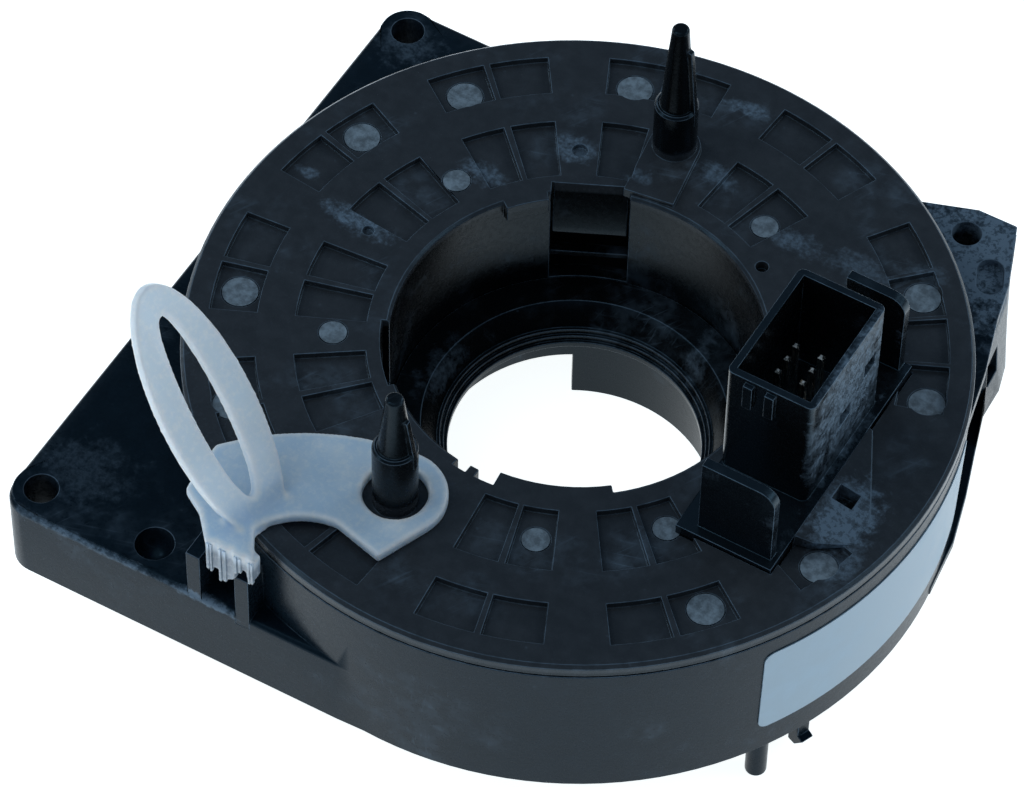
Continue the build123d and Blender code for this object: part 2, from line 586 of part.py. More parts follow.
def stator_housing():
    """Column-side housing: round wall, square mounting plate with skirt, lock post and wing."""
    top = STATOR_TOP
    wall = turned([(STATOR_IN_R, 0), (wall_r(0), 0), (HOUSING_R, top), (STATOR_IN_R, top)])
    plate = extrude(plate_outline(0), PLATE_TOP_Z)
    rim = [e for e in plate.edges().group_by(Axis.Z)[-1] if e.center().X < -6.5]
    plate = fillet(rim, 0.8)
    part = plate - extrude(plate_outline(PLATE_T), PLATE_TOP_Z - PLATE_T)
    part += Pos(0, 0, WING_TOP_Z - WING_T) * extrude(wing_outline(), WING_T)
    part += wing_skirt(SKIRT_INSET) - wing_skirt(WING_WALL)
    part -= block((43 * GROWN, 47 * GROWN), WINDOW_Y, WINDOW_Z)
    # foot ledge along the wall beside the wing
    part += foot_ledge()
    # corner bosses and the locating socket in the plate
    for x, y in CORNER_HOLES:
        boss = Pos(x, y, PLATE_TOP_Z / 2) * Cylinder(BOSS_R, PLATE_TOP_Z)
        part += boss & extrude(plate_outline(0), PLATE_TOP_Z)
    x, y = DIMPLE
    part += Pos(x, y, PLATE_TOP_Z - DIMPLE_BOSS_H / 2) * Cylinder(DIMPLE_R + 1.2, DIMPLE_BOSS_H)
    part -= Pos(x, y, PLATE_TOP_Z) * Cylinder(DIMPLE_R, 2 * DIMPLE_DEPTH)
    part -= Pos(x, y, PLATE_TOP_Z - DIMPLE_DEPTH) * Sphere(DIMPLE_R)
    for x, y in CORNER_HOLES:
        part -= Pos(x, y, PLATE_TOP_Z / 2) * Cylinder(HOLE_R, PLATE_TOP_Z + 4)
    # tower beside the wall that carries the lock post
    for x0, x1 in (CHANNEL_WALL_X, POST_X):
        part += block((x0, x1), (POST_FRONT_Y, POST_FRONT_Y + 9.9),
                      (PLATE_TOP_Z - PLATE_T, POST_TOP_Z))
    part -= extrude(Circle(STATOR_IN_R), top)
    part += wall
    # wing details: screw boss and oval pit
    wx, wy = WING_HOLE
    part += Pos(wx, wy, WING_TOP_Z / 2) * Cylinder(WING_BOSS_R, WING_TOP_Z)
    part -= Pos(wx, wy, WING_TOP_Z / 2) * Cylinder(WING_HOLE_R, WING_TOP_Z + 4)
    px, py = WING_PIT
    part -= Pos(px, py, WING_TOP_Z) * Rot(0, 0, WING_PIT_TURN) * extrude(
        SlotOverall(*WING_PIT_SIZE), WING_PIT_DEPTH, both=True)
    # window for the neck of the column connector
    part -= plug_box((STATOR_IN_R - 1, HOUSING_R + 1), NECK_W / 2 + FIT,
                     (NECK_Z[0] - FIT, NECK_Z[1] + FIT))
    return part


def rear_cover():
    """Annular rear floor of the stator with its locating peg and snap hook."""
    part = ring(COVER_IN_R, STATOR_IN_R - FIT, 0, COVER_T)
    x, y = PEG_AT
    stem = Pos(x, y, PEG_END_Z / 2) * Cylinder(PEG_R, -PEG_END_Z)
    part += chamfer(stem.edges().group_by(Axis.Z)[0], 0.5)
    hx, hy = HOOK_AT
    with BuildSketch(Plane.XZ) as sk:
        with BuildLine():
            Polyline((-1.0, COVER_T - 0.5), (-1.0, HOOK_END_Z), (0.4, HOOK_END_Z),
                     (2.0, HOOK_END_Z + 2.2), (1.0, HOOK_END_Z + 2.6), (1.0, COVER_T - 0.5),
                     close=True)
        make_face()
    hook = Rot(0, 0, math.degrees(math.atan2(hy, hx))) * extrude(sk.sketch, 1.0, both=True)
    part += Pos(hx, hy, 0) * hook
    return part


def slip_films():
    """Low-friction films above and below the ribbon; the upper one is cut out for the plug."""
    upper = ring(*FILM_R, PLATE_UNDER_Z - FILM_T, PLATE_UNDER_Z)
    upper -= block((PLUG_X[0] - 1, PLUG_X[1] + 1), (PLUG_Y[0] - 1, PLUG_Y[1] + 1),
                   (PLATE_UNDER_Z - 2, PLATE_UNDER_Z + 1))
    lower = ring(*FILM_R, COVER_T, COVER_T + FILM_T)
    return upper, lower


def label():
    """Blank label round the right side of the stator wall, with rounded corners."""
    a0, a1 = LABEL_A
    z0, z1 = LABEL_Z
    with BuildSketch(Plane.XZ) as sk:
        with BuildLine():
            Polyline((wall_r(z0), z0), (wall_r(z0) + LABEL_T, z0), (wall_r(z1) + LABEL_T, z1),
                     (wall_r(z1), z1), close=True)
        make_face()
    part = Rot(0, 0, a0) * revolve(sk.sketch, axis=Axis.Z, revolution_arc=a1 - a0)
    corners = [e for e in part.edges() if e.length < 2 * LABEL_T]
    return fillet(corners, LABEL_CORNER_R)


def pull_loop():
    """Oval pull loop that leans out over the plate from the clip's lug."""
    foot, top = Vector(*LOOP_FOOT), Vector(*LOOP_TOP)
    along = (top - foot).normalized()
    across = Vector(*LOOP_ACROSS).normalized()
    half = LOOP_LENGTH / 2
    centre = top - along * (half - LOOP_BAND / 2) + Vector(0, 0, FACE_Z)
    plane = Plane(origin=centre, x_dir=across, z_dir=across.cross(along))
    outer = Ellipse(LOOP_W / 2, half)
    inner = Ellipse(LOOP_W / 2 - LOOP_BAND, half - LOOP_END)
    loop = plane * extrude(outer - inner, LOOP_T / 2, both=True)
    return loop - block((-70, 10), (-70, 10), (FACE_Z - 20, FACE_Z))


def transport_lock():
    """Clip that holds the rotor centred: ring round a drive peg, arm, pronged lug, pull loop."""
    px, py = at(PEG_CIRCLE_R, PEGS[1][0])[:2]
    with BuildSketch() as sk:
        with BuildLine():
            ThreePointArc((px, py + RING_R), (-20.0, -32.1), (-31.9, -41.5))
            Polyline((-31.9, -41.5), (-31.4, LUG_Y[0] + 5.6), (-28.0, LUG_Y[0] + 3.6),
                     (LUG_X[0], LUG_Y[0]), (LUG_X[1], LUG_Y[0]), (-20.1, LUG_Y[0] + 4.9))
            ThreePointArc((-20.1, LUG_Y[0] + 4.9), (-16.2, -45.7), (-11.2, -44.1))
            Polyline((-11.2, -44.1), (-3.8, -45.9), (px + RING_R * 0.9, py - RING_R * 0.436))
            ThreePointArc((px + RING_R * 0.9, py - RING_R * 0.436), (px + RING_R, py),
                          (px, py + RING_R))
        make_face()
    body = Pos(0, 0, FACE_Z) * extrude(sk.sketch, LOCK_T)
    low = POST_TOP_Z + LUG_GAP
    x0, x1 = LUG_X
    with BuildSketch(Plane.XZ) as lug:
        with BuildLine():
            Polyline((x0, FACE_Z + 1), (x0 + 0.3, low + 1.3), (x0 + 2.0, low + 1.3),
                     (x0 + 2.3, low), (x0 + 4.2, low + 0.4), (x0 + 4.5, low + 3.3),
                     (x0 + 6.0, low + 4.3), (x0 + 6.1, low + 2.0), (x1 - 0.1, low + 2.8),
                     (x1, FACE_Z + 1), close=True)
        make_face()
    depth = LUG_Y[1] - LUG_Y[0]
    part = body + Pos(0, LUG_Y[1], 0) * extrude(lug.sketch, depth) + pull_loop()
    for n in range(3):
        x = x0 + 1.3 + 2.3 * n
        part -= block((x, x + 0.7), (LUG_Y[0] - 1, LUG_Y[0] + 0.25), (low - 1, FACE_Z + LOCK_T + 1))
    return part - Pos(px, py, FACE_Z) * Cylinder(RING_HOLE_R, 3 * LOCK_T)


def main():
    """Build every node and write its STEP file."""
    save(rotor_disc(), "rotor_disc")
    save(rotor_sleeve(), "rotor_sleeve")
    save(steering_connector_housing(), "steering_connector_housing")
    for n, (x, y) in enumerate(pin_places(), 1):
        save(steering_pin(x, y), f"steering_terminal_{n}")
    save(inner_ribbon_carrier(), "inner_ribbon_carrier")
    save(ribbon_cable(), "ribbon_cable")
    save(outer_ribbon_block(), "outer_ribbon_block")
    save(column_connector_housing(), "column_connector_housing")
    for n, pin in enumerate(column_pin_runs(), 1):
        save(pin, f"column_terminal_{n}")
    save(stator_housing(), "stator_housing")
    save(rear_cover(), "rear_cover")
    upper, lower = slip_films()
    save(upper, "upper_slip_film")
    save(lower, "lower_slip_film")
    save(label(), "label")
    save(transport_lock(), "transport_lock")


if __name__ == "__main__":
    main()
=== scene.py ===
"""Steering clock spring: finishes, fine mouldings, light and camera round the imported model.

Everything is in metres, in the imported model's frame: +Z runs along the steering shaft towards
the driver, and the origin is where that axis meets the rear mounting face.
"""

import json
from functools import reduce
from math import cos, radians, sin

import bmesh
import bpy
from bpy.props import FloatProperty, FloatVectorProperty, PointerProperty
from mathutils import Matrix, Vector
from mathutils.bvhtree import BVHTree
from mathutils.interpolate import poly_3d_calc
from mathutils.kdtree import KDTree

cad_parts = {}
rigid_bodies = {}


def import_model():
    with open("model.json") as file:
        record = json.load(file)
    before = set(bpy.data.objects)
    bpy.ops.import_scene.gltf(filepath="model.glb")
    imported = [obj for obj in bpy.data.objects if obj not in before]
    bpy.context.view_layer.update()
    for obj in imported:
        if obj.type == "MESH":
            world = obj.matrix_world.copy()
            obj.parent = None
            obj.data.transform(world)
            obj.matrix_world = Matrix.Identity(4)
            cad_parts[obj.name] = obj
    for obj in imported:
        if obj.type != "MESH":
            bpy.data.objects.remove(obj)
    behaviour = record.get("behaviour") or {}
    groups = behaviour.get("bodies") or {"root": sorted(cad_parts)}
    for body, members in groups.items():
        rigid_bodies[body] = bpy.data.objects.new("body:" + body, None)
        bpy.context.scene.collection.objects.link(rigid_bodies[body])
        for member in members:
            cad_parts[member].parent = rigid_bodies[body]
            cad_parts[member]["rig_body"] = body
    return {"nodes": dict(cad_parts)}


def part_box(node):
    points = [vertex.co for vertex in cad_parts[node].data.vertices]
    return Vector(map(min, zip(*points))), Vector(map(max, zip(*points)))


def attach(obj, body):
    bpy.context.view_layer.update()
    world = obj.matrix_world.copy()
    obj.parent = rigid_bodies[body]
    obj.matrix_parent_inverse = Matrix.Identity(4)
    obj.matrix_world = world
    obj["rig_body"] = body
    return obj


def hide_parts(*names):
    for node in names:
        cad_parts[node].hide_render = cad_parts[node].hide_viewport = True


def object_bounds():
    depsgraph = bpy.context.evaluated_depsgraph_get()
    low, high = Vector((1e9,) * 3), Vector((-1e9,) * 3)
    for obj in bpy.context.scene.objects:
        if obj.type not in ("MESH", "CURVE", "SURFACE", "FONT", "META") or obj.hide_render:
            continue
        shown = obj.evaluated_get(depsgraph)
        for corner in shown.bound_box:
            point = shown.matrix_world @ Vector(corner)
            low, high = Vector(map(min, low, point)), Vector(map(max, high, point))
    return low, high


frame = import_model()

bl_info = {
    "name": "Steering clock spring",
    "version": (1, 0, 0),
    "blender": (4, 5, 0),
    "location": "3D View > Sidebar > Clock Spring",
    "description": "Builds the visual model of a steering clock spring round its packed parts",
    "category": "Object",
}

CAD_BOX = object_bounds()
MM = 0.001

# Heights that the pieces below sit on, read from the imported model.
SHROUD_H = 20.8 * MM                # how far the wheel-side plug stands above the rotor face
ROTOR_FACE_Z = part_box("steering_connector_housing")[1].z - SHROUD_H
FLOOR_Z = CAD_BOX[0][2]


# ---------------------------------------------------------------- settings a user may change
def size(name, default, description):
    """A length property in metres."""
    return FloatProperty(name=name, description=description, default=default, min=0.0,
                         unit="LENGTH", subtype="DISTANCE", precision=5)


def share(name, default, description):
    """A plain number from 0 to 1."""
    return FloatProperty(name=name, description=description, default=default, min=0.0, max=1.0,
                         subtype="FACTOR")


def colour(name, default, description):
    """A linear RGB colour property."""
    return FloatVectorProperty(name=name, description=description, default=default, size=3,
                               min=0.0, max=1.0, subtype="COLOR")


class ClockSpringFinish(bpy.types.PropertyGroup):
    """Colours and wear of the finishes."""

    housing: colour("Housing", (0.0035, 0.0075, 0.0120), "Plastic of the stator")
    rotor: colour("Rotor", (0.0220, 0.0250, 0.0290), "Plastic of the rotor plate and sleeve")
    connector: colour("Connector", (0.0018, 0.0020, 0.0024), "Plastic of the plug shrouds")
    # Colour of the pale film on the black mouldings: handling haze and dust, and also the painted
    # highlights on edges and patches.
    dust: colour("Dust", (0.095, 0.135, 0.180), "Handling haze on the black mouldings")
    mark: colour("Ejector marks", (0.104, 0.138, 0.168), "Dull witness marks of the mould")
    lock: colour("Transport lock", (0.55, 0.71, 0.89), "Natural, unpigmented plastic")
    # Pale colour of the lock: its milky clouds and scuffs, and the painted glow at its borders.
    border: colour("Lock borders", (0.95, 0.97, 1.0), "The same plastic at its edges")
    label: colour("Label", (0.215, 0.312, 0.392), "Bare label film")
    pin: colour("Pins", (0.90, 0.86, 0.78), "Tinned terminals")
    haze: share("Haze", 0.55, "How much the rubs and dust specks show on the black mouldings")
    # The rounded edges are made paler, partly as rubbed wear and partly as a painted highlight.
    wear: share("Edge wear", 0.9, "How much the rounded edges are rubbed bright")


class ClockSpringSizes(bpy.types.PropertyGroup):
    """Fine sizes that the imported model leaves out."""

    edge: size("Edge radius", 0.16 * MM, "Rounding of the moulded edges")
    fine_edge: size("Fine edge radius", 0.12 * MM, "Rounding of the thin-walled mouldings")
    lock_voxel: size("Lock grain", 0.26 * MM, "Cell size used to soften the transport lock")
    lock_border: size("Lock border", 0.9 * MM, "How far the bright borders of the lock reach")
    mark_depth: size("Mark depth", 0.04 * MM, "How far a mark lies below the floor round it")


class ClockSpringStudio(bpy.types.PropertyGroup):
    """Floor and light."""

    floor: colour("Floor", (0.93, 0.94, 0.95), "Pale studio floor")
    glow: share("Floor glow", 0.95, "Light from under the floor, as of a light table")
    sky: colour("Ambient light", (0.14, 0.19, 0.25), "Light that fills the shadows")
    key: FloatProperty(name="Key light", default=2.0, min=0.0, unit="POWER",
                       description="Power of the overhead softbox, which all lights follow")


def scene_settings(context):
    """The finishes and the sizes that are set in the scene."""
    return context.scene.clock_spring_finish, context.scene.clock_spring_sizes


def shade(base, factor=1.0):
    """A colour made darker or lighter."""
    return tuple(min(1.0, c * factor) for c in base)


# ---------------------------------------------------------------- shader maths
class Socket:
    """A shader value that Python's operators turn into Math nodes."""

    def __init__(self, finish, link):
        self.finish, self.link = finish, link

    def _math(self, operation, *values):
        node = self.finish.node("ShaderNodeMath", {"operation": operation}, *values)
        return Socket(self.finish, node.outputs[0])

    def __add__(self, other):
        return self._math("ADD", self, other)

    def __sub__(self, other):
        return self._math("SUBTRACT", self, other)

    def __rsub__(self, other):
        return self._math("SUBTRACT", other, self)

    def __mul__(self, other):
        return self._math("MULTIPLY", self, other)

    def most(self, other):
        """The larger of two values."""
        return self._math("MAXIMUM", self, other)

    def least(self, other):
        """The smaller of two values."""
        return self._math("MINIMUM", self, other)

    def band(self, low, high, to_low=0.0, to_high=1.0):
        """This value carried from one range to another with a smooth step."""
        node = self.finish.node("ShaderNodeMapRange", {"interpolation_type": "SMOOTHSTEP"},
                                self, low, high, to_low, to_high)
        return Socket(self.finish, node.outputs[0])


# Numbers of the Mix node's sockets for colours: what it mixes by, its two colours, its result.
MIX_FACTOR, MIX_LOW, MIX_HIGH, MIX_RESULT = 0, 6, 7, 2

# A pale patch, which is haze in some places and painted light in others: its torn noise as
# (features to the metre, detail, roughness), how far that noise moves the outline, and the
# share of the patch over which it comes to full strength.
TORN = (420.0, 5.0, 0.72)
TEAR = 2.2
FEATHER = 0.7


class Finish:
    """One material, built from object coordinates."""

    def __init__(self, name, **constants):
        self.material = bpy.data.materials.new(name)
        self.material.use_nodes = True
        self.tree = self.material.node_tree
        self.tree.nodes.clear()
        output = self.node("ShaderNodeOutputMaterial")
        self.shader = self.node("ShaderNodeBsdfPrincipled")
        self.tree.links.new(self.shader.outputs[0], output.inputs["Surface"])
        self.place = self.node("ShaderNodeTexCoord").outputs["Object"]
        self.feed(**constants)

    def connect(self, value, socket):
        """Link a value to a socket, or set it there when it is a plain one."""
        if isinstance(value, Socket):
            value = value.link
        if isinstance(value, bpy.types.NodeSocket):
            self.tree.links.new(value, socket)
        elif value is not None:
            socket.default_value = value

    def node(self, kind, settings=None, *values, **named):
        """Add a node: settings first, then its sockets by order or by name."""
        node = self.tree.nodes.new(kind)
        for key, value in (settings or {}).items():
            setattr(node, key, value)
        for key, value in (*enumerate(values), *named.items()):
            self.connect(value, node.inputs[key])
        return node

    def feed(self, **sockets):
        """Link or set the shader's own sockets, whose names have _ for each space."""
        for name, value in sockets.items():
            self.connect(value, self.shader.inputs[name.replace("_", " ")])
        return self

    def relief(self, height, distance, strength):
        """Bump the surface by a height from 0 to 1 over a distance in metres."""
        bump = self.node("ShaderNodeBump", None, Height=height, Distance=distance,
                         Strength=strength)
        self.tree.links.new(bump.outputs[0], self.shader.inputs["Normal"])
        return self

    def mix(self, factor, low, high):
        """A colour between two colours."""
        node = self.node("ShaderNodeMix", {"data_type": "RGBA"})
        self.connect(factor, node.inputs[MIX_FACTOR])
        for value, socket in ((low, MIX_LOW), (high, MIX_HIGH)):
            full = (*value, 1.0) if isinstance(value, tuple) else value
            self.connect(full, node.inputs[socket])
        return node.outputs[MIX_RESULT]

    def noise(self, scale, detail=2.0, roughness=0.5, place=None):
        """Fractal noise from 0 to 1; scale is in features to the metre."""
        node = self.node("ShaderNodeTexNoise", None, place or self.place, Scale=scale,
                         Detail=detail, Roughness=roughness)
        return Socket(self, node.outputs[0])

    def streaks(self, stretch, turn=0.0, detail=2.0, roughness=0.5):
        """Noise with its own features to the metre along each axis, turned by some radians."""
        turned = self.node("ShaderNodeMapping", None, self.place, None, (0.0, 0.0, turn))
        drawn = self.node("ShaderNodeVectorMath", {"operation": "MULTIPLY"},
                          turned.outputs[0], stretch)
        return self.noise(1.0, detail, roughness, drawn.outputs[0])

    def cells(self, scale):
        """Distance to the nearest of scattered points, from 0 at each of them."""
        node = self.node("ShaderNodeTexVoronoi", None, self.place, Scale=scale)
        return Socket(self, node.outputs["Distance"])

    def patch(self, torn, x, y, z, length, width, height, turn, strength):
        """One row of a patch table: an oval of these half sizes with a torn outline."""
        moved = self.node("ShaderNodeVectorMath", {"operation": "SUBTRACT"}, self.place,
                          (x * MM, y * MM, z * MM))
        turned = self.node("ShaderNodeMapping", None, moved.outputs[0], None,
                           (0.0, 0.0, radians(-turn)),
                           tuple(1 / (half * MM) for half in (length, width, height)))
        away = self.node("ShaderNodeVectorMath", {"operation": "LENGTH"}, turned.outputs[0])
        inside = 1.0 - Socket(self, away.outputs["Value"]) + torn * TEAR
        return inside.band(0.0, FEATHER, 0.0, strength)

    def patches(self, places):
        """All rows of a patch table together."""
        torn = self.noise(*TORN) - 0.5
        return reduce(Socket.most, [self.patch(torn, *place) for place in places])

    def height(self):
        """Height above the rear face, in metres."""
        node = self.node("ShaderNodeSeparateXYZ", None, self.place)
        return Socket(self, node.outputs["Z"])

    def attribute(self, name):
        """A value that the mesh stores on its points."""
        node = self.node("ShaderNodeAttribute", {"attribute_name": name})
        return Socket(self, node.outputs["Fac"])


# ---------------------------------------------------------------- finishes
# Noise patterns are (features to the metre, detail, roughness), reliefs are (depth in metres,
# strength), and spans are ranges of noise over which a layer comes in.
NEARLY_ALL = (0.2, 0.8)
MIDDLE = (0.3, 0.7)

BROAD = (70.0, 4.0, 0.62)
MOTTLE = (420.0, 3.0, 0.60)
PATCH_TEXTURE = (1300.0, 3.0, 0.70)
GRAIN = (1500.0, 2.0, 0.50)
GRAIN_STRENGTH = 0.4
SHEEN = (0.38, 0.72, 1.0, 1.0)      # cool tint of what the black plastic mirrors
CLOUDING = 1.35                     # the black plastic's paler clouds
PAINTED_SHADE = 0.12                         # painted shade: the rotor's colour is this share of itself away from its face
SHADE_FADE_BELOW = 0.5 * MM               # it sets in over this height under that face
SHADE_FADE_ABOVE = 0.8 * MM               # and over this one above it
DULLING = 0.35                      # roughness that the pale film, with its painted highlights, adds
ROUGH_SPREAD = 0.08                 # roughness between the grain's hills and valleys

# Scratches as (features to the metre along X, Y and Z, turn in radians), and the span of each.
RUBS = ((2600.0, 130.0, 400.0), 0.5)
RUBS_SPAN = (0.60, 0.70)
RUBS_ROUGH = 0.55                   # roughness of their noise
CROSS_RUBS = ((110.0, 2300.0, 400.0), -0.3)
CROSS_RUBS_SPAN = (0.62, 0.72)
SPECKS = 520.0                      # dust specks to the metre
SPECK_SPAN = (0.05, 0.16)           # from the middle of a speck to its rim

# How much each layer adds to the pale film on the black plastic.
SMEARED, RUBBED, SPECKLED, SETTLED = 0.35, 0.55, 0.35, 0.5


def black_moulding(look, name, base, haze, gloss, grain, mirror=0.5, places=(), bright=None):
    """Black moulded plastic: grain, handling haze, rubs, dust specks, pale edges and painted
    light.

    Gloss is the lowest roughness of clean plastic, and grain is the depth of its texture in
    millimetres. Places are the rows of a patch table of pale patches and painted light. Where
    the bright band is given by its two heights, painted shade darkens the plastic outside it.
    """
    finish = Finish(name, Specular_IOR_Level=mirror, Specular_Tint=SHEEN)
    mottle = finish.noise(*MOTTLE)
    handled = finish.noise(*BROAD).band(0.50, 0.72)
    rubs = finish.streaks(*RUBS, roughness=RUBS_ROUGH).band(*RUBS_SPAN)
    cross_rubs = finish.streaks(*CROSS_RUBS).band(*CROSS_RUBS_SPAN)
    specks = 1.0 - finish.cells(SPECKS).band(*SPECK_SPAN)
    edge = finish.attribute("edge")
    # Rounded outer edges turn pale: partly rubbed wear, partly a painted highlight along the
    # edge.
    worn_and_highlit = edge.band(0.2, 0.9) * mottle.band(0.30, 0.62, 0.35, 1.0)
    settled = (0.0 - edge).band(0.3, 0.9) * mottle.band(0.4, 0.7)

    smear = handled * mottle.band(0.30, 0.75) * haze * SMEARED
    marks = (rubs.most(cross_rubs) * handled * RUBBED
             + specks * mottle.band(0.5, 0.7) * SPECKLED) * haze
    # The pale film: haze, rubs, specks and settled dust, and on the rounded edges a painted
    # highlight as well.
    film = smear + marks * look.haze + worn_and_highlit * look.wear + settled * look.wear * SETTLED
    # Patch tables add pale patches; some of them are painted highlights and painted reflections.
    if places:
        patch_texture = finish.noise(*PATCH_TEXTURE).band(0.35, 0.65, 0.25, 1.0)
        film = film + finish.patches(places) * patch_texture

    tone = finish.mix(mottle.band(0.25, 0.8), shade(base), shade(base, CLOUDING))
    # Painted shade: outside the band between the two heights the plastic is darkened, on the
    # rotor its bore and sides.
    if bright:
        low, high = bright
        height = finish.height()
        unshaded_layer = height.band(low - SHADE_FADE_BELOW, low) * height.band(
            high, high + SHADE_FADE_ABOVE, 1.0, 0.0)
        tone = finish.mix(unshaded_layer, shade(base, PAINTED_SHADE), tone)
    body = finish.mix(film, tone, shade(look.dust))
    grained = finish.noise(*GRAIN)
    rough = grained.band(*NEARLY_ALL, gloss, gloss + ROUGH_SPREAD) + film * DULLING
    return finish.feed(Base_Color=body, Roughness=rough).relief(
        grained, grain * MM, GRAIN_STRENGTH)


MARK_TEAR = (900.0, 4.0, 0.65)
MARK_SHADES = (0.62, 1.45)          # its darkest and palest places, as shares of its colour
MARK_ROUGH = (0.42, 0.62)
MARK_RELIEF = (0.03 * MM, 0.8)


def witness_finish(look):
    """Dull, slightly torn plastic where an ejector pin pushed."""
    finish = Finish("ejector_mark", Specular_IOR_Level=0.4)
    torn = finish.noise(*MARK_TEAR)
    body = finish.mix(torn.band(*MIDDLE), *(shade(look.mark, part) for part in MARK_SHADES))
    return finish.feed(Base_Color=body, Roughness=torn.band(*NEARLY_ALL, *MARK_ROUGH)).relief(
        torn, *MARK_RELIEF)


LOOP_FROM_Z = 31.0 * MM             # the pull loop is milkier above this height
LOOP_BLEND = 3.0 * MM
LUG_TO_Z = 29.5 * MM                # and the lug deeper in colour below this one
LUG_BLEND = 2.0 * MM
LUG_TINT = 0.9                      # how much of the lug takes its deeper colour
LUG_DEEP = 0.36                     # that colour as a share of the lock's
LUG_CLEAR = 0.85                    # how much of the milkiness the lug loses
# How much each layer turns the lock pale; at the borders this is a painted glow of light through
# the thin edges.
BORDER_GLOW, LOOP_MILK, CLOUD_MILK, FINE_MILK, SCUFF_MILK = 0.85, 0.6, 0.35, 0.25, 0.25
LOCK_CLOUD = (160.0, 3.0, 0.55)
LOCK_FINE = (1400.0, 3.0, 0.6)
LOCK_FLOW = (900.0, 900.0, 120.0)   # features to the metre along X, Y and Z
LOCK_ROUGH = (0.30, 0.42)
SCUFF_ROUGH = 0.2
LOCK_RELIEF = (0.04 * MM, 0.6)


def lock_finish(look):
    """Natural plastic: see-through and bluish in the middle, pale at its borders with a painted
    glow.
    """
    finish = Finish("natural_plastic", Subsurface_Weight=0.6, Subsurface_Scale=0.003,
                    Subsurface_Radius=(0.8, 0.9, 1.0), Transmission_Weight=0.32, IOR=1.49,
                    Specular_IOR_Level=0.5)
    cloud = finish.noise(*LOCK_CLOUD)
    fine = finish.noise(*LOCK_FINE)
    scuff = finish.streaks(LOCK_FLOW, detail=3.0, roughness=0.6).band(0.55, 0.75)
    height = finish.height()
    loop = height.band(LOOP_FROM_Z, LOOP_FROM_Z + LOOP_BLEND)
    lug = height.band(LUG_TO_Z - LUG_BLEND, LUG_TO_Z, 1.0, 0.0)

    # Painted glow at the borders, together with the plastic's own milky clouds.
    milky = finish.attribute("border") * BORDER_GLOW + cloud.band(0.45, 0.8, 0.0, CLOUD_MILK)
    milky = milky * (1.0 - loop * LOOP_MILK) * (1.0 - lug * LUG_CLEAR)
    milky = milky + fine.band(0.45, 0.7, 0.0, FINE_MILK) + loop * LOOP_MILK
    deep = finish.mix(lug * LUG_TINT, shade(look.lock), shade(look.lock, LUG_DEEP))
    body = finish.mix(milky.least(1.0), deep, shade(look.border))
    body = finish.mix(scuff * SCUFF_MILK, body, shade(look.border))
    rough = scuff * SCUFF_ROUGH + cloud.band(*NEARLY_ALL, *LOCK_ROUGH)
    return finish.feed(Base_Color=body, Roughness=rough).relief(fine, *LOCK_RELIEF)


LABEL_TOOTH = (3200.0, 2.0, 0.5)
LABEL_RUBS = (140.0, 4.0, 0.6)
LABEL_PALE = 1.22                   # the rubbed film's colour as a share of the clean film's
RUB_PALE, TOOTH_PALE = 0.6, 0.15    # how much the rubs and the tooth show of it
LABEL_ROUGH = 0.38
RUBBED_ROUGH = 0.12                 # what a rub adds to it
LABEL_RELIEF = (0.01 * MM, 0.5)


def label_finish(look):
    """Bare label film with faint rubs and a paper tooth."""
    finish = Finish("label_film", Specular_IOR_Level=0.45)
    tooth = finish.noise(*LABEL_TOOTH)
    rubbed = finish.noise(*LABEL_RUBS).band(0.42, 0.72)
    body = finish.mix(rubbed * RUB_PALE + tooth * TOOTH_PALE, shade(look.label),
                      shade(look.label, LABEL_PALE))
    rough = rubbed * RUBBED_ROUGH + LABEL_ROUGH
    return finish.feed(Base_Color=body, Roughness=rough).relief(tooth, *LABEL_RELIEF)


PIN_DRAW = (5200.0, 5200.0, 260.0)  # features to the metre along X, Y and Z
PIN_DARK = 0.7                      # the streaks' darkest colour as a share of the palest
PIN_ROUGH = (0.16, 0.34)
PIN_RELIEF = (0.01 * MM, 0.4)


def pin_finish(look):
    """Tinned terminal with drawn streaks along the pin."""
    finish = Finish("tinned_pin", Metallic=1.0)
    drawn = finish.streaks(PIN_DRAW)
    body = finish.mix(drawn, shade(look.pin, PIN_DARK), shade(look.pin))
    return finish.feed(Base_Color=body, Roughness=drawn.band(*NEARLY_ALL, *PIN_ROUGH)).relief(
        drawn, *PIN_RELIEF)


FILM_HAZE = (260.0, 3.0, 0.55)
FILM_DARK = 0.8                     # the film's darkest colour as a share of the palest
FILM_SPREAD = 0.15                  # roughness between clear and hazy film
FILM_RELIEF = (0.01 * MM, 0.4)


def film_finish(name, base, gloss):
    """Thin sheet inside the ring: slip film, or the laminate of the ribbon cable."""
    finish = Finish(name, Specular_IOR_Level=0.5)
    haze = finish.noise(*FILM_HAZE)
    body = finish.mix(haze.band(*MIDDLE), shade(base, FILM_DARK), base)
    return finish.feed(Base_Color=body, Roughness=haze * FILM_SPREAD + gloss).relief(
        finish.noise(*GRAIN), *FILM_RELIEF)


FLOOR_TOOTH = (900.0, 3.0, 0.6)
FLOOR_DARK = 0.985                  # the tooth's darkest colour as a share of the palest
FLOOR_ROUGH = 0.75
FLOOR_SPREAD = 0.1                  # what the tooth adds to it
FLOOR_GLOW = (0.96, 1.0, 1.0, 1.0)


def floor_finish(studio):
    """Pale matt floor with a barely visible tooth."""
    finish = Finish("studio_floor", Specular_IOR_Level=0.2, Emission_Strength=studio.glow,
                    Emission_Color=FLOOR_GLOW)
    tooth = finish.noise(*FLOOR_TOOTH)
    body = finish.mix(tooth, shade(studio.floor, FLOOR_DARK), shade(studio.floor))
    return finish.feed(Base_Color=body, Roughness=tooth * FLOOR_SPREAD + FLOOR_ROUGH)


